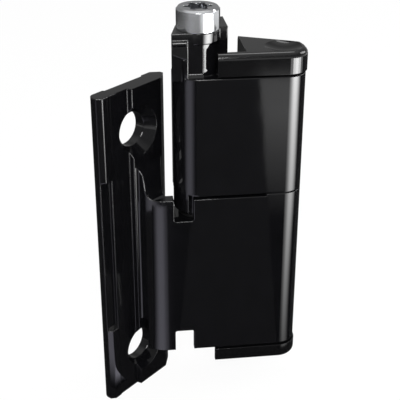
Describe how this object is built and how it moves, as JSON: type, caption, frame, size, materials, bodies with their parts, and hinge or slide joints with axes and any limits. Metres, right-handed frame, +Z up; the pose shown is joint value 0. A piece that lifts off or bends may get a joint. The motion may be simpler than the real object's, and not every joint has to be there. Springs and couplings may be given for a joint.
{
  "type": "cabinet hinge",
  "caption": "Cast cabinet hinge: a plate with countersunk holes and a wedge-shaped body whose upper half turns about a cylinder head pin.",
  "frame": {"origin": "on the rear face of the mounting plate, midway between its two screw holes", "axes": "+Z up along the plate and parallel to the pin, +X along the plate towards the pin, +Y into the frame that the plate is screwed to"},
  "size_m": [0.0556, 0.0434, 0.1295],
  "materials": {
    "black_paint": "gloss",
    "steel": "satin",
    "bush_plastic": "matte",
    "cap_plastic": "satin"
  },
  "bodies": {
    "frame_side": {"frame_leaf": "black_paint", "hinge_pin": "steel", "bottom_cap": "cap_plastic"},
    "door_side": {"door_leaf": "black_paint", "upper_bush": "bush_plastic", "lower_bush": "bush_plastic", "top_cap": "cap_plastic"}
  },
  "joints": [
    {"name": "door_swing", "type": "hinge", "parent": "frame_side", "child": "door_side", "pos_m": [0.0155, -0.01675, 0], "axis": [0, 0, 1], "range_deg": [-120, 0]}
  ]
}
